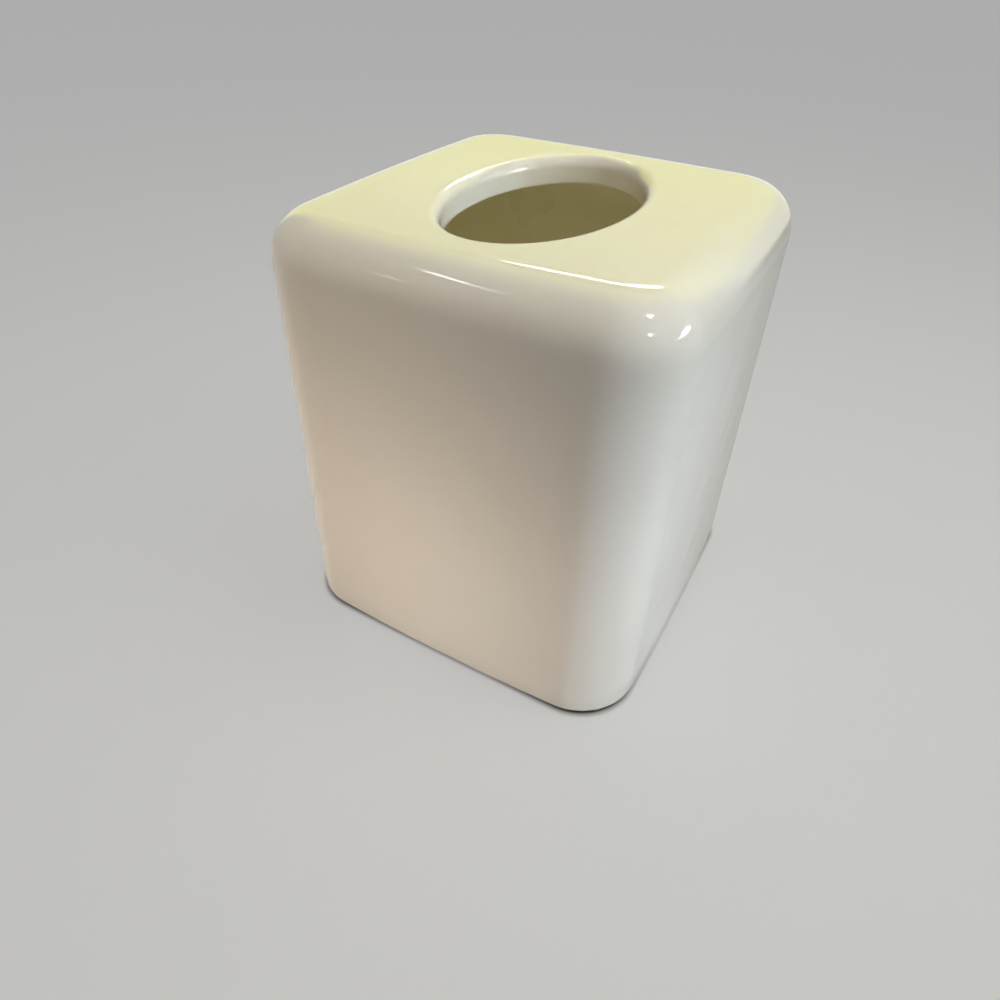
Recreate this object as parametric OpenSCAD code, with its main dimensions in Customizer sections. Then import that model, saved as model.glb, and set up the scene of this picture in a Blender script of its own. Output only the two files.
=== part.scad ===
// Cover for a cube tissue box: one ceramic shell, open underneath, with an oval opening in its top.
// The walls lean in a little towards the top, bow outwards a little between the corners, and roll
// over into the top in one radius. The opening has a rolled lip that turns down into a collar.
// Four clear pads under the corners keep the foot rim off the surface.
// Origin: middle of the foot, on the surface that the cover stands on. Units: millimetres.

/* [Shell] */
// Outside width at the foot, across the middles of two opposite walls
foot_w = 138; // [135:0.5:150]
// Height of the shell, from its foot rim to its top
shell_h = 148.5; // [140:0.5:165]
// How far each wall leans in between the foot rim and the top
wall_lean = 2; // [0:0.1:4]
// How far the middle of a wall stands proud of its ends
wall_bow = 1.1; // [0.3:0.1:2]
// Thickness of the walls
wall_t = 5.5; // [4.5:0.1:6.5]
// Thickness of the top
top_t = 5.5; // [4.5:0.1:6.5]
// Radius of the upright corners
corner_r = 22.5; // [19:0.5:28]
// Radius that rolls the walls over into the top
shoulder_r = 14.4; // [10:0.2:16]

/* [Opening] */
// Width of the oval opening, across the cover
opening_w = 54; // [46:0.5:62]
// Length of the oval opening, from front to back
opening_l = 88; // [76:0.5:91]
// Radius of the rolled lip round the opening
lip_r = 3.7; // [2:0.1:5]
// Depth of the collar below the top
collar_depth = 9; // [8:0.1:14]
// Thickness of the collar
collar_t = 4.5; // [3:0.1:5.5]
// Rounding of the collar's two lower edges
collar_edge_r = 0.9; // [0.4:0.1:1.4]
// Radius that blends the collar into the underside of the top
collar_blend_r = 2; // [1:0.1:3]

/* [Foot rim] */
// Rounding of the rim's outer edge
rim_outer_r = 1.4; // [0.6:0.1:2.5]
// Rounding of the rim's inner edge
rim_inner_r = 0.6; // [0.3:0.1:1.5]

/* [Pads] */
// Diameter of a pad
pad_d = 5; // [4:0.1:6]
// Thickness of a pad
pad_t = 1.3; // [0.8:0.1:2.5]
// Rounding of a pad's lower edge
pad_edge_r = 0.3; // [0.1:0.05:0.6]

/* [Hidden] */

glaze_colour = [0.93, 0.92, 0.88];
pad_colour = [0.8, 0.82, 0.82];

// How finely the shell is drawn: steps along half a wall, round a corner, and along each curve of its section
half_wall_steps = 5;
corner_steps = 10;
shoulder_steps = 9;
inner_shoulder_steps = 5;
wall_rows = 4;
lip_steps = 5;
edge_steps = 3;
pad_fn = 48;

quarter_points = 2 * half_wall_steps + corner_steps;
ring_points = 4 * quarter_points;

// Each wall is a long shallow arc in plan, of this radius, tangent to the corner arcs
half_chord = foot_w / 2 - corner_r;
bow_r = (half_chord * half_chord + wall_bow * wall_bow) / (2 * wall_bow);

// Half width of the shell at height z above the foot rim, at the middle of a wall
function half_w(z) = foot_w / 2 - wall_lean * z / shell_h;

// Both coordinates of a corner arc's centre, where its circle and the two wall arcs are tangent
function corner_centre(z) =
    let (wall_centre = bow_r - half_w(z), reach = bow_r - corner_r)
    (sqrt(2 * reach * reach - wall_centre * wall_centre) - wall_centre) / 2;

// Angle that half a wall takes up on its arc
function wall_angle(z) = let (c = corner_centre(z)) atan2(c, c + bow_r - half_w(z));

function arc_point(centre, r, angle) = centre + r * [cos(angle), sin(angle)];

function quarter_turn(p, turns) = turns == 0 ? p : quarter_turn([-p[1], p[0]], turns - 1);

// One quarter of the plan outline at height z, set in by inset, from the middle of one wall to the next
function quarter_outline(inset, z) =
    let (
        c = corner_centre(z),
        turn = wall_angle(z),
        wall_r = bow_r - inset,
        wall_centre = half_w(z) - bow_r
    )
    concat(
        [for (i = [0 : half_wall_steps - 1])
            arc_point([wall_centre, 0], wall_r, turn * i / half_wall_steps)],
        [for (i = [0 : corner_steps - 1])
            arc_point([c, c], corner_r - inset, turn + (90 - 2 * turn) * i / corner_steps)],
        [for (i = [0 : half_wall_steps - 1])
            arc_point([0, wall_centre], wall_r, 90 - turn + turn * i / half_wall_steps)]
    );

// The whole plan outline at height z, set in by inset
function square_ring(inset, z) =
    let (quarter = quarter_outline(inset, z))
    [for (turns = [0 : 3], p = quarter) let (q = quarter_turn(p, turns)) [q[0], q[1], z]];

// The oval of the opening at height z, grown outwards by grow along its own normals
function oval_ring(grow, z) =
    let (a = opening_w / 2, b = opening_l / 2)
    [for (i = [0 : ring_points - 1])
        let (
            angle = 360 * i / ring_points,
            normal = [b * cos(angle), a * sin(angle)],
            p = [a * cos(angle), b * sin(angle)] + grow * normal / norm(normal)
        )
        [p[0], p[1], z]];

// Section of the outside, from the rim's flat up and over the shoulder, as [inset, height] pairs
outer_section = concat(
    [for (i = [0 : edge_steps])
        let (angle = 90 * i / edge_steps)
        [rim_outer_r * (1 - sin(angle)), rim_outer_r * (1 - cos(angle))]],
    [for (i = [1 : wall_rows - 1])
        [0, rim_outer_r + (shell_h - shoulder_r - rim_outer_r) * i / wall_rows]],
    [for (i = [0 : shoulder_steps])
        let (angle = 90 * i / shoulder_steps)
        [shoulder_r * (1 - cos(angle)), shell_h - shoulder_r * (1 - sin(angle))]]
);

// Section of the lip and collar, from the top down through the opening and back up to the underside,
// as [growth of the oval, height] pairs
collar_foot = shell_h - collar_depth;
underside = shell_h - top_t;
collar_section = concat(
    [for (i = [0 : lip_steps])
        let (angle = 90 * i / lip_steps)
        [lip_r * (1 - sin(angle)), shell_h - lip_r * (1 - cos(angle))]],
    [for (i = [0 : edge_steps])
        let (angle = 90 * i / edge_steps)
        [collar_edge_r * (1 - cos(angle)), collar_foot + collar_edge_r * (1 - sin(angle))]],
    [for (i = [0 : edge_steps])
        let (angle = 90 * i / edge_steps)
        [collar_t - collar_edge_r * (1 - sin(angle)), collar_foot + collar_edge_r * (1 - cos(angle))]],
    [for (i = [0 : edge_steps])
        let (angle = 90 * i / edge_steps)
        [collar_t + collar_blend_r * (1 - cos(angle)), underside - collar_blend_r * (1 - sin(angle))]]
);

// Section of the inside, from the underside of the top down to the rim's flat, as [inset, height] pairs
inner_round_w = shoulder_r - wall_t;
inner_round_h = shoulder_r - top_t;
inner_section = concat(
    [for (i = [0 : inner_shoulder_steps])
        let (angle = 90 * i / inner_shoulder_steps)
        [wall_t + inner_round_w * (1 - sin(angle)), underside - inner_round_h * (1 - cos(angle))]],
    [for (i = [1 : wall_rows - 1])
        [wall_t, rim_inner_r + (underside - inner_round_h - rim_inner_r) * (1 - i / wall_rows)]],
    [for (i = [0 : edge_steps])
        let (angle = 90 * i / edge_steps)
        [wall_t - rim_inner_r * (1 - cos(angle)), rim_inner_r * (1 - sin(angle))]]
);

shell_rings = concat(
    [for (s = outer_section) square_ring(s[0], s[1])],
    [for (s = collar_section) oval_ring(s[0], s[1])],
    [for (s = inner_section) square_ring(s[0], s[1])]
);

// Skins a closed chain of rings, each ring joined to the next and the last to the first
module ring_skin(rings) {
    ring_count = len(rings);
    points = [for (ring = rings, p = ring) p];
    faces = [
        for (j = [0 : ring_count - 1], i = [0 : ring_points - 1])
            let (
                next_ring = (j + 1) % ring_count,
                next_point = (i + 1) % ring_points,
                a = j * ring_points + i,
                b = next_ring * ring_points + i,
                c = next_ring * ring_points + next_point,
                d = j * ring_points + next_point
            )
            each [[a, b, c], [a, c, d]]
    ];
    polyhedron(points = points, faces = faces, convexity = 6);
}

// The ceramic casting, raised by the pads
module cover_shell() {
    color(glaze_colour)
        translate([0, 0, pad_t])
            ring_skin(shell_rings);
}

// Middle of the rim's flat on a corner's diagonal, where a pad is stuck
rim_middle = (rim_outer_r + wall_t - rim_inner_r) / 2;
pad_place = corner_centre(0) + (corner_r - rim_middle) * cos(45);

// One pad, on the side of the cover that x_side and y_side (each -1 or 1) give
module pad(x_side, y_side) {
    flat_r = pad_d / 2 - pad_edge_r;
    color(pad_colour)
        translate([x_side * pad_place, y_side * pad_place, 0])
            rotate_extrude($fn = pad_fn) {
                square([flat_r, pad_t]);
                translate([0, pad_edge_r])
                    square([pad_d / 2, pad_t - pad_edge_r]);
                translate([flat_r, pad_edge_r])
                    circle(r = pad_edge_r);
            }
}

cover_shell();
pad(-1, -1);  // pad_front_left
pad(1, -1);  // pad_front_right
pad(-1, 1);  // pad_back_left
pad(1, 1);  // pad_back_right
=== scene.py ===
# Looks for a glazed ceramic cover that is lowered over a cube carton of tissues.
# The shell is one casting: leaning walls that bow a little, a rolled shoulder, a flat top and an oval
# opening whose lip turns down into a collar. It stands on four clear pads.
import math
from collections import Counter

import bpy
from mathutils import Matrix, Vector


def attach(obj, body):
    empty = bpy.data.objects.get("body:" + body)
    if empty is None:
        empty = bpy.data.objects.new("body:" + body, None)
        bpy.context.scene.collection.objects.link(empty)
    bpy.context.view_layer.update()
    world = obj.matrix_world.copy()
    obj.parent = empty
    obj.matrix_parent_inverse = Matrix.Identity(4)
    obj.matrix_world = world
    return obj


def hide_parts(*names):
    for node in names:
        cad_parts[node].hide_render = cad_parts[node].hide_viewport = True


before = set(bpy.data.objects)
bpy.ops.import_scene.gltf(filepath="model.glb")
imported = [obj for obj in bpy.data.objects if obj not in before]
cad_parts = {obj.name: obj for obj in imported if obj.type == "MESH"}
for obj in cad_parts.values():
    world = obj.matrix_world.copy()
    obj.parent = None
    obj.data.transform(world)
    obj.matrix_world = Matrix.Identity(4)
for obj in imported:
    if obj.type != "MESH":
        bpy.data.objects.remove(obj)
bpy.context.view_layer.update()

MM = 0.001

# Sizes of the casting, in metres, as in the part's source. Heights count from the foot rim.
FOOT_WIDTH = 138 * MM
SHELL_HEIGHT = 148.5 * MM
WALL_LEAN = 2 * MM
WALL_BOW = 1.1 * MM
WALL_THICKNESS = 5.5 * MM
TOP_THICKNESS = 5.5 * MM
CORNER_RADIUS = 22.5 * MM
SHOULDER_RADIUS = 14.4 * MM
OPENING_WIDTH = 54 * MM
OPENING_LENGTH = 88 * MM
LIP_RADIUS = 3.7 * MM
COLLAR_DEPTH = 9 * MM
COLLAR_THICKNESS = 4.5 * MM
COLLAR_EDGE_RADIUS = 0.9 * MM
COLLAR_BLEND_RADIUS = 2 * MM
RIM_OUTER_RADIUS = 1.4 * MM
RIM_INNER_RADIUS = 0.6 * MM
PAD_THICKNESS = 1.3 * MM

# How finely the casting is drawn
HALF_WALL_STEPS = 10
CORNER_STEPS = 24
RING_POINTS = 4 * (2 * HALF_WALL_STEPS + CORNER_STEPS)
SHOULDER_STEPS = 16
LIP_STEPS = 10
EDGE_STEPS = 5
WALL_CUTS = 13
FLAT_CUTS = 4
COLLAR_CUTS = 2
# Height up to which the rim is bare
BARE_HEIGHT = 0.35 * MM
# Width of the narrow bands that keep flats flat beside a rounding
GUARD = 0.4 * MM
# Points closer than this are one point
TOLERANCE = 0.01 * MM

HALF_CHORD = FOOT_WIDTH / 2 - CORNER_RADIUS
BOW_RADIUS = (HALF_CHORD ** 2 + WALL_BOW ** 2) / (2 * WALL_BOW)


# Camera: close, to the right of the front, looking down, with its angles in radians
CAMERA_PLACE = (0.09854, -0.20281, 0.21677)
CAMERA_TURN = 0.50704
CAMERA_TILT = 0.86887
CAMERA_ROLL = 0.025736
camera_data = bpy.data.cameras.new("camera")
camera_data.sensor_width = 36
camera_data.lens = 25.41
camera_data.clip_start = 0.01
camera_data.clip_end = 50
camera = bpy.data.objects.new("camera", camera_data)
bpy.context.scene.collection.objects.link(camera)
camera.matrix_world = (
    Matrix.Translation(CAMERA_PLACE)
    @ Matrix.Rotation(CAMERA_TURN, 4, "Z")
    @ Matrix.Rotation(CAMERA_TILT, 4, "X")
    @ Matrix.Rotation(CAMERA_ROLL, 4, "Z")
)
bpy.context.scene.camera = camera


# Finishes

def add(tree, kind, **settings):
    node = tree.nodes.new(kind)
    for name, value in settings.items():
        if name in node.inputs:
            node.inputs[name].default_value = value
        else:
            setattr(node, name, value)
    return node


def new_group(name, inputs, outputs):
    # A node group with its named sockets, and the nodes at its two ends
    group = bpy.data.node_groups.new(name, "ShaderNodeTree")
    for label, kind, value in inputs:
        socket = group.interface.new_socket(name=label, in_out="INPUT", socket_type=kind)
        socket.default_value = value
    for label, kind in outputs:
        group.interface.new_socket(name=label, in_out="OUTPUT", socket_type=kind)
    start = group.nodes.new("NodeGroupInput")
    end = group.nodes.new("NodeGroupOutput")
    return group, start, end


def use_group(tree, group, place, **values):
    node = tree.nodes.new("ShaderNodeGroup")
    node.node_tree = group
    tree.links.new(place, node.inputs["Place"])
    for name, value in values.items():
        node.inputs[name.replace("_", " ")].default_value = value
    return node


def math_node(tree, operation, first, second, clamp=False):
    node = tree.nodes.new("ShaderNodeMath")
    node.operation = operation
    node.use_clamp = clamp
    for socket, value in zip(node.inputs, (first, second)):
        if isinstance(value, (int, float)):
            socket.default_value = value
        else:
            tree.links.new(value, socket)
    return node.outputs["Value"]


def mix_colours(tree, amount, first, second):
    node = tree.nodes.new("ShaderNodeMix")
    node.data_type = "RGBA"
    tree.links.new(amount, node.inputs["Factor"])
    for socket, value in ((node.inputs["A"], first), (node.inputs["B"], second)):
        if isinstance(value, tuple):
            socket.default_value = (*value, 1)
        else:
            tree.links.new(value, socket)
    return node.outputs["Result"]


def remap(tree, value, low, high, to_low, to_high):
    node = add(tree, "ShaderNodeMapRange", clamp=True)
    tree.links.new(value, node.inputs["Value"])
    for name, limit in (
        ("From Min", low), ("From Max", high), ("To Min", to_low), ("To Max", to_high)
    ):
        node.inputs[name].default_value = limit
    return node.outputs["Result"]


PLACE = ("Place", "NodeSocketVector", (0, 0, 0))


def make_ripple():
    # Height of a fired glaze's skin: long shallow waves with a fine orange peel on them
    group, start, end = new_group(
        "glaze ripple",
        [
            PLACE,
            ("Waves per metre", "NodeSocketFloat", 40.0),
            ("Peel per metre", "NodeSocketFloat", 450.0),
            ("Peel share", "NodeSocketFloat", 0.1),
        ],
        [("Height", "NodeSocketFloat")],
    )
    waves = add(group, "ShaderNodeTexNoise", Detail=1.0, Roughness=0.4)
    peel = add(group, "ShaderNodeTexNoise", Detail=1.0, Roughness=0.5)
    for node, rate in ((waves, "Waves per metre"), (peel, "Peel per metre")):
        group.links.new(start.outputs["Place"], node.inputs["Vector"])
        group.links.new(start.outputs[rate], node.inputs["Scale"])
    fine = math_node(group, "MULTIPLY", peel.outputs["Fac"], start.outputs["Peel share"])
    height = math_node(group, "ADD", waves.outputs["Fac"], fine)
    group.links.new(height, end.inputs["Height"])
    return group


def make_drift():
    # Slow drift of the colour from one part of the glaze to another
    group, start, end = new_group(
        "colour drift",
        [
            PLACE,
            ("Clouds per metre", "NodeSocketFloat", 18.0),
            ("Thick", "NodeSocketColor", (0.9, 0.9, 0.9, 1)),
            ("Thin", "NodeSocketColor", (0.8, 0.8, 0.8, 1)),
        ],
        [("Color", "NodeSocketColor"), ("Mask", "NodeSocketFloat")],
    )
    clouds = add(group, "ShaderNodeTexNoise", Detail=3.0, Roughness=0.55)
    group.links.new(start.outputs["Place"], clouds.inputs["Vector"])
    group.links.new(start.outputs["Clouds per metre"], clouds.inputs["Scale"])
    mask = remap(group, clouds.outputs["Fac"], 0.35, 0.7, 0.0, 1.0)
    colour = mix_colours(group, mask, start.outputs["Thick"], start.outputs["Thin"])
    group.links.new(colour, end.inputs["Color"])
    group.links.new(mask, end.inputs["Mask"])
    return group


def make_specks():
    # Small scattered dots: iron specks in the clay, pinholes in the glaze
    group, start, end = new_group(
        "kiln specks",
        [
            PLACE,
            ("Cells per metre", "NodeSocketFloat", 90.0),
            ("Dot share", "NodeSocketFloat", 0.03),
            ("Filled cells", "NodeSocketFloat", 0.2),
        ],
        [("Mask", "NodeSocketFloat")],
    )
    cells = add(group, "ShaderNodeTexVoronoi", Randomness=0.9)
    group.links.new(start.outputs["Place"], cells.inputs["Vector"])
    group.links.new(start.outputs["Cells per metre"], cells.inputs["Scale"])
    near = math_node(group, "DIVIDE", cells.outputs["Distance"], start.outputs["Dot share"])
    dot = math_node(group, "SUBTRACT", 1.5, near, clamp=True)
    lot = group.nodes.new("ShaderNodeSeparateColor")
    group.links.new(cells.outputs["Color"], lot.inputs["Color"])
    drawn = math_node(group, "LESS_THAN", lot.outputs["Red"], start.outputs["Filled cells"])
    group.links.new(math_node(group, "MULTIPLY", dot, drawn), end.inputs["Mask"])
    return group


def make_bared():
    # Where the glaze thins out towards an edge that is level with the floor: 1 at the edge,
    # 0 one reach above it, with an uneven border
    group, start, end = new_group(
        "thin glaze line",
        [
            PLACE,
            ("Edge height", "NodeSocketFloat", 0.0),
            ("Reach", "NodeSocketFloat", 0.003),
            ("Unevenness", "NodeSocketFloat", 0.001),
        ],
        [("Mask", "NodeSocketFloat")],
    )
    split = group.nodes.new("ShaderNodeSeparateXYZ")
    group.links.new(start.outputs["Place"], split.inputs["Vector"])
    wander = add(group, "ShaderNodeTexNoise", Scale=70.0, Detail=3.0, Roughness=0.6)
    group.links.new(start.outputs["Place"], wander.inputs["Vector"])
    centred = math_node(group, "SUBTRACT", wander.outputs["Fac"], 0.5)
    shift = math_node(group, "MULTIPLY", centred, start.outputs["Unevenness"])
    above = math_node(group, "SUBTRACT", split.outputs["Z"], start.outputs["Edge height"])
    away = math_node(group, "ADD", above, shift)
    share = math_node(group, "DIVIDE", away, start.outputs["Reach"])
    group.links.new(math_node(group, "SUBTRACT", 1.0, share, clamp=True), end.inputs["Mask"])
    return group


RIPPLE = make_ripple()
DRIFT = make_drift()
SPECKS = make_specks()
BARED = make_bared()


def new_finish(name, **constants):
    # A material with its shader, whose constants are set on the shader's own sockets
    finish = bpy.data.materials.new(name)
    finish.use_nodes = True
    tree = finish.node_tree
    shader = next(node for node in tree.nodes if node.type == "BSDF_PRINCIPLED")
    for label, value in constants.items():
        shader.inputs[label.replace("_", " ")].default_value = value
    place = tree.nodes.new("ShaderNodeTexCoord").outputs["Object"]
    return finish, tree, shader, place


def add_bump(tree, shader, height, strength, distance):
    bump = add(tree, "ShaderNodeBump", Strength=strength, Distance=distance)
    tree.links.new(height, bump.inputs["Height"])
    tree.links.new(bump.outputs["Normal"], shader.inputs["Normal"])


def vary_roughness(tree, shader, mask, low, high):
    rough = remap(tree, mask, 0.0, 1.0, low, high)
    tree.links.new(rough, shader.inputs["Roughness"])


IVORY = (0.90, 0.875, 0.80)
IVORY_THIN = (0.88, 0.85, 0.765)
INNER_IVORY = (0.87, 0.84, 0.70)
INNER_THIN = (0.83, 0.79, 0.63)
IRON_SPECK = (0.3, 0.22, 0.14)
CLAY = (0.74, 0.66, 0.54)
CLAY_PATCH = (0.64, 0.55, 0.43)
CLAY_SPECK = (0.33, 0.24, 0.16)
PAD_CLEAR = (0.86, 0.88, 0.88)
PAD_CLOUDED = (0.74, 0.76, 0.75)
# Lowest and highest roughness of each finish
OUTER_ROUGHNESS = (0.06, 0.1)
INNER_ROUGHNESS = (0.22, 0.4)
CLAY_ROUGHNESS = (0.75, 0.92)
PAD_ROUGHNESS = (0.18, 0.34)
# How much of the clay shows through where the outer glaze thins out above the rim
CLAY_SHOWING = 0.35
# How dark the specks are under the inner glaze
SPECK_STRENGTH = 0.5


def make_outer_glaze():
    finish, tree, shader, place = new_finish("ivory_glaze", IOR=1.5)
    drift = use_group(
        tree, DRIFT, place, Clouds_per_metre=16.0, Thick=(*IVORY, 1), Thin=(*IVORY_THIN, 1)
    )
    thin = use_group(
        tree, BARED, place, Edge_height=PAD_THICKNESS, Reach=1.6 * MM, Unevenness=1.2 * MM
    )
    faint = math_node(tree, "MULTIPLY", thin.outputs["Mask"], CLAY_SHOWING)
    colour = mix_colours(tree, faint, drift.outputs["Color"], CLAY)
    tree.links.new(colour, shader.inputs["Base Color"])
    vary_roughness(tree, shader, drift.outputs["Mask"], *OUTER_ROUGHNESS)
    ripple = use_group(tree, RIPPLE, place, Waves_per_metre=42.0, Peel_share=0.06)
    add_bump(tree, shader, ripple.outputs["Height"], 0.12, 1.5 * MM)
    return finish


def make_inner_glaze():
    finish, tree, shader, place = new_finish("inner_glaze", IOR=1.5)
    drift = use_group(
        tree, DRIFT, place, Clouds_per_metre=26.0, Thick=(*INNER_IVORY, 1), Thin=(*INNER_THIN, 1)
    )
    specks = use_group(
        tree, SPECKS, place, Cells_per_metre=80.0, Dot_share=0.025, Filled_cells=0.2
    )
    dotted = math_node(tree, "MULTIPLY", specks.outputs["Mask"], SPECK_STRENGTH)
    colour = mix_colours(tree, dotted, drift.outputs["Color"], IRON_SPECK)
    tree.links.new(colour, shader.inputs["Base Color"])
    vary_roughness(tree, shader, drift.outputs["Mask"], *INNER_ROUGHNESS)
    ripple = use_group(tree, RIPPLE, place, Waves_per_metre=70.0, Peel_share=0.2)
    add_bump(tree, shader, ripple.outputs["Height"], 0.25, 1.5 * MM)
    return finish


def make_bare_clay():
    finish, tree, shader, place = new_finish("bare_clay", IOR=1.45)
    drift = use_group(
        tree, DRIFT, place, Clouds_per_metre=60.0, Thick=(*CLAY, 1), Thin=(*CLAY_PATCH, 1)
    )
    specks = use_group(
        tree, SPECKS, place, Cells_per_metre=260.0, Dot_share=0.12, Filled_cells=0.3
    )
    colour = mix_colours(tree, specks.outputs["Mask"], drift.outputs["Color"], CLAY_SPECK)
    tree.links.new(colour, shader.inputs["Base Color"])
    vary_roughness(tree, shader, drift.outputs["Mask"], *CLAY_ROUGHNESS)
    ripple = use_group(
        tree, RIPPLE, place, Waves_per_metre=500.0, Peel_per_metre=2200.0, Peel_share=0.6
    )
    add_bump(tree, shader, ripple.outputs["Height"], 0.4, 0.2 * MM)
    return finish


def make_clear_pad():
    finish, tree, shader, place = new_finish("clear_pad", IOR=1.47, Transmission_Weight=0.85)
    drift = use_group(
        tree, DRIFT, place, Clouds_per_metre=300.0,
        Thick=(*PAD_CLEAR, 1), Thin=(*PAD_CLOUDED, 1)
    )
    tree.links.new(drift.outputs["Color"], shader.inputs["Base Color"])
    vary_roughness(tree, shader, drift.outputs["Mask"], *PAD_ROUGHNESS)
    ripple = use_group(
        tree, RIPPLE, place, Waves_per_metre=400.0, Peel_per_metre=1800.0, Peel_share=0.4
    )
    add_bump(tree, shader, ripple.outputs["Height"], 0.3, 0.1 * MM)
    return finish


outer_glaze = make_outer_glaze()
inner_glaze = make_inner_glaze()
bare_clay = make_bare_clay()
clear_pad = make_clear_pad()


# Plan of the casting: four long shallow arcs, tangent to four corner arcs

def half_width(height):
    return FOOT_WIDTH / 2 - WALL_LEAN * height / SHELL_HEIGHT


def corner_centre(height):
    across = BOW_RADIUS - half_width(height)
    reach = BOW_RADIUS - CORNER_RADIUS
    return (math.sqrt(2 * reach ** 2 - across ** 2) - across) / 2


def wall_turn(height):
    centre = corner_centre(height)
    return math.atan2(centre, centre + BOW_RADIUS - half_width(height))


# Steps of modelling

def deselect_objects():
    if bpy.context.object and bpy.context.object.mode != "OBJECT":
        bpy.ops.object.mode_set(mode="OBJECT")
    bpy.ops.object.select_all(action="DESELECT")


def pick_open(casting, *heights):
    # Selects the open edges of casting at these heights, and stays in edit mode
    uses = Counter(key for face in casting.data.polygons for key in face.edge_keys)
    open_points = {
        point for edge in casting.data.edges if uses[edge.key] < 2 for point in edge.vertices
    }
    bpy.ops.object.mode_set(mode="EDIT")
    bpy.ops.mesh.select_mode(type="VERT")
    bpy.ops.mesh.select_all(action="DESELECT")
    bpy.ops.object.mode_set(mode="OBJECT")
    for point in open_points:
        vertex = casting.data.vertices[point]
        above_rim = vertex.co.z - PAD_THICKNESS
        vertex.select = any(abs(above_rim - height) < TOLERANCE for height in heights)
    bpy.ops.object.mode_set(mode="EDIT")


def draw_outline(inset, height, finish):
    # Spins one point along the four walls and round the four corners
    deselect_objects()
    place = (half_width(height) - inset, 0, height + PAD_THICKNESS)
    bpy.ops.mesh.primitive_circle_add(vertices=3, radius=MM, location=place)
    bpy.ops.object.transform_apply(location=True, rotation=True, scale=True)
    bpy.ops.object.mode_set(mode="EDIT")
    bpy.ops.mesh.select_all(action="SELECT")
    bpy.ops.mesh.merge(type="CENTER")
    centre = corner_centre(height)
    turn = wall_turn(height)
    wall_centre = half_width(height) - BOW_RADIUS
    arcs = (
        ((wall_centre, 0), turn, HALF_WALL_STEPS),
        ((centre, centre), math.pi / 2 - 2 * turn, CORNER_STEPS),
        ((0, wall_centre), turn, HALF_WALL_STEPS),
    )
    for quarter in range(4):
        turned = Matrix.Rotation(quarter * math.pi / 2, 3, "Z")
        for middle, angle, steps in arcs:
            pivot = turned @ Vector((middle[0], middle[1], height + PAD_THICKNESS))
            bpy.ops.mesh.spin(steps=steps, angle=-angle, center=pivot, axis=(0, 0, 1))
    bpy.ops.mesh.select_all(action="SELECT")
    bpy.ops.mesh.remove_doubles(threshold=TOLERANCE)
    bpy.ops.object.mode_set(mode="OBJECT")
    bpy.context.object.data.materials.append(finish)
    return bpy.context.object


def draw_oval(growth, height, finish):
    # An oval as wide and long as the opening, grown by growth
    deselect_objects()
    place = (0, 0, height + PAD_THICKNESS)
    bpy.ops.mesh.primitive_circle_add(vertices=RING_POINTS, radius=1, location=place)
    bpy.ops.object.mode_set(mode="EDIT")
    bpy.ops.mesh.select_all(action="SELECT")
    across = OPENING_WIDTH / 2 + growth
    along = OPENING_LENGTH / 2 + growth
    bpy.ops.transform.resize(value=(across, along, 1), center_override=place)
    bpy.ops.object.mode_set(mode="OBJECT")
    bpy.ops.object.transform_apply(location=True, rotation=True, scale=True)
    bpy.context.object.data.materials.append(finish)
    return bpy.context.object


def join(*parts):
    deselect_objects()
    for part in parts:
        part.select_set(True)
    bpy.context.view_layer.objects.active = parts[0]
    bpy.ops.object.join()
    return parts[0]


def roll(casting, section):
    # Closes the open ring at the section's first height with one face, insets that face along
    # the section, given as (inset, height) points, and opens it again at the end
    pick_open(casting, section[0][1])
    bpy.ops.mesh.edge_face_add()
    bpy.ops.object.mode_set(mode="OBJECT")
    lid = next(face for face in casting.data.polygons if face.select)
    up = 1 if lid.normal.z > 0 else -1
    bpy.ops.object.mode_set(mode="EDIT")
    bpy.ops.mesh.select_mode(type="FACE")
    for (inset, height), (next_inset, next_height) in zip(section, section[1:]):
        bpy.ops.mesh.inset(thickness=next_inset - inset, depth=up * (next_height - height))
    bpy.ops.mesh.delete(type="ONLY_FACE")
    bpy.ops.object.mode_set(mode="OBJECT")


def bridge(casting, heights, cuts, finish=None):
    # Joins the two open rings at these heights
    pick_open(casting, *heights)
    bpy.ops.mesh.bridge_edge_loops(number_cuts=cuts, interpolation="LINEAR")
    if finish:
        casting.active_material_index = casting.data.materials.find(finish.name)
        bpy.ops.object.material_slot_assign()
    bpy.ops.object.mode_set(mode="OBJECT")


def quarter_round(steps):
    # The sine and cosine of each step of a quarter turn
    return [
        (math.sin(math.pi / 2 * step / steps), math.cos(math.pi / 2 * step / steps))
        for step in range(steps + 1)
    ]


def lean_at(height):
    return WALL_LEAN * height / SHELL_HEIGHT


# Outside: the walls, the rim below them and the shoulder above them
shoulder_foot = SHELL_HEIGHT - SHOULDER_RADIUS
wall_top = shoulder_foot - GUARD
outer = join(
    draw_outline(0, RIM_OUTER_RADIUS, outer_glaze), draw_outline(0, wall_top, outer_glaze)
)
bridge(outer, (RIM_OUTER_RADIUS, wall_top), WALL_CUTS)
rim_section = [
    (RIM_OUTER_RADIUS * (1 - cosine), RIM_OUTER_RADIUS * (1 - sine))
    for sine, cosine in quarter_round(EDGE_STEPS)
]
rim_section += [(RIM_OUTER_RADIUS + 0.5 * GUARD, 0)]
rim_section += [(WALL_THICKNESS - RIM_INNER_RADIUS - 0.5 * GUARD, 0)]
rim_section += [
    (WALL_THICKNESS - RIM_INNER_RADIUS * (1 - sine), RIM_INNER_RADIUS * (1 - cosine))
    for sine, cosine in quarter_round(EDGE_STEPS)
]
roll(outer, rim_section)
shoulder_section = [(lean_at(wall_top), wall_top)]
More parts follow.
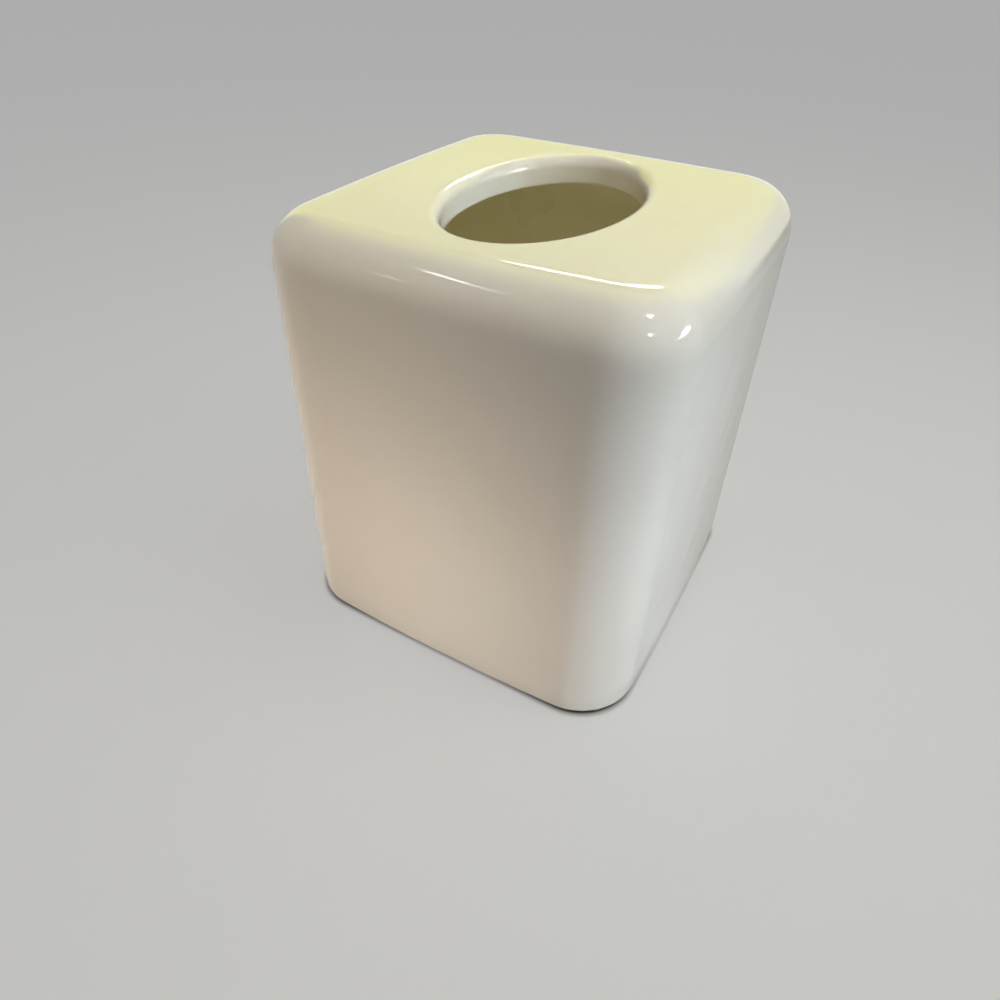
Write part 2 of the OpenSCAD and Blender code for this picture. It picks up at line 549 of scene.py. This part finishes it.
shoulder_section += [
    (
        lean_at(shoulder_foot + SHOULDER_RADIUS * sine) + SHOULDER_RADIUS * (1 - cosine),
        shoulder_foot + SHOULDER_RADIUS * sine,
    )
    for sine, cosine in quarter_round(SHOULDER_STEPS)
]
shoulder_section += [(lean_at(SHELL_HEIGHT) + SHOULDER_RADIUS + GUARD, SHELL_HEIGHT)]
roll(outer, shoulder_section)

# The lip, from the flat of the top down into the opening
lip = draw_oval(LIP_RADIUS + GUARD, SHELL_HEIGHT, outer_glaze)
lip_foot = SHELL_HEIGHT - LIP_RADIUS - GUARD
lip_section = [(-LIP_RADIUS - GUARD, SHELL_HEIGHT)]
lip_section += [
    (-LIP_RADIUS * (1 - sine), SHELL_HEIGHT - LIP_RADIUS * (1 - cosine))
    for sine, cosine in quarter_round(LIP_STEPS)
]
lip_section += [(0, lip_foot)]
roll(lip, lip_section)
outer = join(outer, lip)
bridge(outer, (SHELL_HEIGHT,), FLAT_CUTS)

# Inside: the walls, the hollow of the shoulder and the underside of the top
underside = SHELL_HEIGHT - TOP_THICKNESS
hollow_width = SHOULDER_RADIUS - WALL_THICKNESS
hollow_height = SHOULDER_RADIUS - TOP_THICKNESS
hollow_foot = underside - hollow_height
inner_top = hollow_foot - GUARD
inner = draw_outline(WALL_THICKNESS, inner_top, inner_glaze)
hollow_section = [(lean_at(inner_top), inner_top)]
hollow_section += [
    (
        lean_at(hollow_foot + hollow_height * sine) + hollow_width * (1 - cosine),
        hollow_foot + hollow_height * sine,
    )
    for sine, cosine in quarter_round(LIP_STEPS)
]
hollow_section += [(lean_at(underside) + hollow_width + GUARD, underside)]
roll(inner, hollow_section)

# The collar, from the underside of the top down, round its foot and up into the opening
collar_foot = SHELL_HEIGHT - COLLAR_DEPTH
collar_root = COLLAR_THICKNESS + COLLAR_BLEND_RADIUS
collar = draw_oval(collar_root + GUARD, underside, inner_glaze)
collar_section = [(-collar_root - GUARD, underside)]
collar_section += [
    (-collar_root + COLLAR_BLEND_RADIUS * sine, underside - COLLAR_BLEND_RADIUS * (1 - cosine))
    for sine, cosine in quarter_round(EDGE_STEPS)
]
collar_section += [
    (
        -COLLAR_THICKNESS + COLLAR_EDGE_RADIUS * (1 - cosine),
        collar_foot + COLLAR_EDGE_RADIUS * (1 - sine),
    )
    for sine, cosine in quarter_round(EDGE_STEPS)
]
collar_section += [
    (-COLLAR_EDGE_RADIUS * (1 - sine), collar_foot + COLLAR_EDGE_RADIUS * (1 - cosine))
    for sine, cosine in quarter_round(EDGE_STEPS)
]
roll(collar, collar_section)
inner = join(inner, collar)
bridge(inner, (underside,), FLAT_CUTS)

# One casting: the inside is joined to the outside down in the opening and at the rim
shell = join(outer, inner)
bridge(shell, (lip_foot, collar_foot + COLLAR_EDGE_RADIUS), COLLAR_CUTS)
bridge(shell, (RIM_INNER_RADIUS, inner_top), WALL_CUTS, inner_glaze)
bpy.ops.object.mode_set(mode="EDIT")
bpy.ops.mesh.select_all(action="SELECT")
bpy.ops.mesh.remove_doubles(threshold=0.1 * TOLERANCE)
bpy.ops.mesh.normals_make_consistent(inside=False)
bpy.ops.object.mode_set(mode="OBJECT")
bpy.ops.object.shade_smooth()
shell.name = "glazed_shell"
shell.data.name = "glazed_shell"


# The rim's flat was wiped clean for the kiln, and the collar's foot is glazed as the outside is
shell.data.materials.append(bare_clay)
half_collar = COLLAR_THICKNESS / 2
for face in shell.data.polygons:
    height = face.center.z - PAD_THICKNESS
    across = face.center.x / (OPENING_WIDTH / 2 + half_collar)
    along = face.center.y / (OPENING_LENGTH / 2 + half_collar)
    if height < BARE_HEIGHT:
        face.material_index = shell.data.materials.find(bare_clay.name)
    elif math.hypot(across, along) < 1:
        face.material_index = shell.data.materials.find(outer_glaze.name)

for name in ("pad_front_left", "pad_front_right", "pad_back_left", "pad_back_right"):
    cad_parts[name].material_slots[0].material = clear_pad

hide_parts("cover_shell")
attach(shell, "root")


# Floor and light

FLOOR_SIZE = 12
FLOOR_GREY = (0.35, 0.35, 0.35, 1)
# How bright the floor and the room are to the eye and in the glaze, where 1 is white
FLOOR_GLOW = 0.4
ROOM_GLOW = 0.45
# How much light the room gives to surfaces
ROOM_LIGHT = 0.05
# Width of the border under the cover's edge over which the floor's glow fades out, as a painted
# contact shadow
GLOW_BORDER = 2.5 * MM


def seen_share(tree):
    # 1 for what the eye, the glaze and the clear pads see, and 0 for light that falls on a surface
    rays = tree.nodes.new("ShaderNodeLightPath").outputs
    seen = math_node(tree, "ADD", rays["Is Camera Ray"], rays["Is Glossy Ray"])
    return math_node(tree, "ADD", seen, rays["Is Transmission Ray"], clamp=True)


def make_floor():
    # Pale paper that glows a little for the eye and the glaze, with the glow faded out under the
    # cover as a painted contact shadow
    deselect_objects()
    bpy.ops.mesh.primitive_plane_add(size=FLOOR_SIZE, location=(0, 0, 0))
    floor = bpy.context.object
    floor.name = "floor"
    finish, tree, shader, place = new_finish("floor_paper", Roughness=1.0, Specular_IOR_Level=0.0)
    shader.inputs["Base Color"].default_value = FLOOR_GREY
    outwards = add(tree, "ShaderNodeVectorMath", operation="ABSOLUTE")
    tree.links.new(place, outwards.inputs[0])
    corner = add(tree, "ShaderNodeVectorMath", operation="SUBTRACT")
    tree.links.new(outwards.outputs["Vector"], corner.inputs[0])
    corner.inputs[1].default_value = (HALF_CHORD, HALF_CHORD, 0)
    beyond = add(tree, "ShaderNodeVectorMath", operation="MAXIMUM")
    tree.links.new(corner.outputs["Vector"], beyond.inputs[0])
    distance = add(tree, "ShaderNodeVectorMath", operation="LENGTH")
    tree.links.new(beyond.outputs["Vector"], distance.inputs[0])
    # Painted contact shadow: the glow is 0 under the cover's footprint and fades in over the border
    # at its edge
    edge = CORNER_RADIUS - GLOW_BORDER
    glow_with_painted_shadow = remap(tree, distance.outputs["Value"], edge, CORNER_RADIUS, 0.0, FLOOR_GLOW)
    glow = math_node(tree, "MULTIPLY", seen_share(tree), glow_with_painted_shadow)
    tree.links.new(glow, shader.inputs["Emission Strength"])
    shader.inputs["Emission Color"].default_value = (1, 1, 1, 1)
    floor.data.materials.append(finish)


# Ends of the cards from left to right, how far behind the cover the upright ones stand, and how
# high and how deep the level ones are
CARD_LEFT = -2.2
CARD_RIGHT = 0.6
CARD_WIDTH = CARD_RIGHT - CARD_LEFT
CARD_MIDDLE = (CARD_LEFT + CARD_RIGHT) / 2
CARD_BACK = 1.1
CARD_TOP = 2.3
CARD_DEPTH = 0.6
# Point in the cover that the thin lamps face
STRIP_AIM = (0.02, -0.02, 0.12)


def round_the_cover(azimuth, distance, height):
    # A point at that azimuth in degrees, from +X towards +Y, and at that distance from the axis
    turn = math.radians(azimuth)
    return distance * math.cos(turn), distance * math.sin(turn), height


def softbox(name, place, aim, size, watts, colour, spread=180, gloss=False):
    # A soft lamp of that width and height, aimed at a point. Without gloss it isn't mirrored.
    data = bpy.data.lights.new(name, "AREA")
    data.shape = "RECTANGLE"
    data.size, data.size_y = size
    data.energy = watts
    data.color = colour
    data.spread = math.radians(spread)
    lamp = bpy.data.objects.new(name, data)
    bpy.context.scene.collection.objects.link(lamp)
    lamp.location = place
    lamp.rotation_euler = (Vector(aim) - Vector(place)).to_track_quat("-Z", "Y").to_euler()
    lamp.visible_camera = False
    lamp.visible_glossy = gloss
    return lamp


def card(name, place, aim, height, radiance, colour):
    # A wide lamp that only the glaze mirrors
    watts = radiance * math.pi * CARD_WIDTH * height
    lamp = softbox(name, place, aim, (CARD_WIDTH, height), watts, colour, gloss=True)
    lamp.visible_diffuse = False


def strip_lamp(name, start, end, thickness, radiance):
    # A thin lamp from start to end, facing the cover, for one crisp mirrored line in the glaze
    start, end = Vector(start), Vector(end)
    along = (end - start).normalized()
    middle = (start + end) / 2
    back = middle - Vector(STRIP_AIM)
    back = (back - back.dot(along) * along).normalized()
    across = back.cross(along)
    watts = radiance * math.pi * thickness * (end - start).length
    lamp = softbox(name, middle, (0, 0, 0), ((end - start).length, thickness), watts, (1, 1, 1))
    turned = Matrix((along, across, back)).transposed().to_4x4()
    lamp.matrix_world = Matrix.Translation(middle) @ turned
    lamp.visible_glossy = True
    lamp.visible_diffuse = False


# Some lamps light the cover alone, so that no beam marks the floor
cover_alone = bpy.data.collections.new("cover_alone")
cover_alone.objects.link(shell)


def spot(name, place, aim, size, watts, colour, spread):
    lamp = softbox(name, place, aim, size, watts, colour, spread=spread)
    lamp.light_linking.receiver_collection = cover_alone


make_floor()
softbox("overhead_right", (0.25, 0.05, 0.6), (0, 0, 0.08), (0.3, 0.6), 1.47, (1, 1, 0.87))
softbox("overhead_front", (0, -0.25, 0.6), (0, 0, 0.08), (0.6, 0.3), 0.49, (1, 0.94, 0.8))
softbox("inside_light", (0, 0, 0.02), (0, 0.001, 1), (0.1, 0.1), 0.018, (1, 0.9, 0.5))
spot("corner_light", round_the_cover(-15, 0.6, 0.2), (0.061, -0.061, 0.06), (0.03, 0.2),
     0.017, (0.82, 0.85, 1), 24)
spot("right_corner_light", round_the_cover(0, 0.6, 0.2), (0.061, -0.061, 0.06), (0.03, 0.2),
     0.035, (0.78, 0.89, 1), 24)
spot("front_light", round_the_cover(-85, 0.65, 0.22), (-0.045, -0.068, 0.055), (0.05, 0.1),
     0.025, (1, 0.89, 0.81), 32)
spot("front_foot_light", round_the_cover(-100, 0.65, 0.22), (-0.01, -0.068, 0.03), (0.05, 0.1),
     0.009, (1, 0.8, 0.61), 20)
spot("front_right_light", round_the_cover(-75, 0.65, 0.22), (0.02, -0.068, 0.02), (0.05, 0.05),
     0.004, (1, 0.94, 0.95), 16)
spot("left_front_light", round_the_cover(-140, 0.65, 0.22), (-0.03, -0.068, 0.05), (0.05, 0.1),
     0.008, (1, 0.47, 0.02), 24)
spot("collar_light", (0.635, -0.057, 0.386), (-0.02, 0, 0.147), (0.05, 0.02),
     0.0018, (0.7, 0.92, 1), 5)
# Low, level lamps for the left and the back wall, which don't reach over the shoulder
spot("left_light", round_the_cover(180, 0.8, 0.08), (0, 0, 0.08), (0.5, 0.14), 0.32,
     (1, 0.97, 0.92), 50)
spot("back_light", round_the_cover(90, 0.8, 0.08), (0, 0, 0.08), (0.5, 0.14), 0.36,
     (1, 0.97, 0.92), 50)

# Upright cards behind the cover, each from a foot height to a head height, and level ones above it
for name, foot, head, radiance, colour in (
    ("card_foot", -0.01, 0.38, 0.8, (1, 1, 0.75)),
    ("card_low", 0.38, 0.74, 1.15, (1, 0.99, 0.19)),
    ("card_middle", 0.74, 1.1, 1.54, (0.98, 1, 0.1)),
    ("card_high", 1.1, 1.6, 1.26, (1, 1, 0.12)),
    ("card_upper", 1.6, 2.3, 2.28, (0.9, 1, 0.05)),
):
    height = (foot + head) / 2
    place = (CARD_MIDDLE, CARD_BACK, height)
    card(name, place, (CARD_MIDDLE, CARD_BACK - 1, height), head - foot, radiance, colour)
for name, back, radiance in (("card_top", 0.8, 1.57), ("card_top_near", 0.2, 0.8)):
    place = (CARD_MIDDLE, back, CARD_TOP)
    card(name, place, (CARD_MIDDLE, back + MM, 0), CARD_DEPTH, radiance, (1, 0.98, 0.3))

# Thin lamps: the long line on the front shoulder, the dashes beside it, the dots and the dash on the
# near corner, and the dash on the collar
strip_lamp("edge_strip", (-0.74, 1.1, 1.09), (-0.36, 1.1, 0.765), 0.05, 16)
strip_lamp("edge_end_strip", (-0.365, 1.1, 0.755), (-0.2, 1.1, 0.945), 0.08, 16)
strip_lamp("edge_tip_strip", (-0.21, 1.1, 0.94), (-0.03, 1.1, 0.998), 0.08, 16)
strip_lamp("dash_lamp", (-0.547, -0.369, 0.926), (-0.465, -0.438, 0.938), 0.035, 18)
strip_lamp("dash_end_lamp", (-0.465, -0.438, 0.938), (-0.42, -0.475, 0.944), 0.035, 8)
strip_lamp("faint_dash_lamp", (-0.652, -0.667, 0.634), (-0.57, -0.734, 0.625), 0.035, 7)
strip_lamp("high_dot_lamp", (0.508, -0.075, 1.037), (0.507, 0.025, 1.037), 0.11, 20)
strip_lamp("low_dot_lamp", (0.768, -0.452, 0.725), (0.811, -0.366, 0.725), 0.11, 20)
strip_lamp("collar_dash_lamp", (0.998, 0.508, 0.45), (1.082, 0.29, 0.44), 0.1, 100)
strip_lamp("corner_dash_lamp", (1.034, 0.037, 0.353), (0.956, 0.329, 0.379), 0.04, 18)

# The room: pale to the eye and in the glaze, and dim as a source of light
world = bpy.data.worlds.new("studio")
bpy.context.scene.world = world
world.use_nodes = True
background = next(node for node in world.node_tree.nodes if node.type == "BACKGROUND")
background.inputs["Color"].default_value = (1, 0.99, 0.97, 1)
seen = seen_share(world.node_tree)
room = remap(world.node_tree, seen, 0.0, 1.0, ROOM_LIGHT, ROOM_GLOW)
world.node_tree.links.new(room, background.inputs["Strength"])

bpy.context.scene.view_settings.view_transform = "Standard"
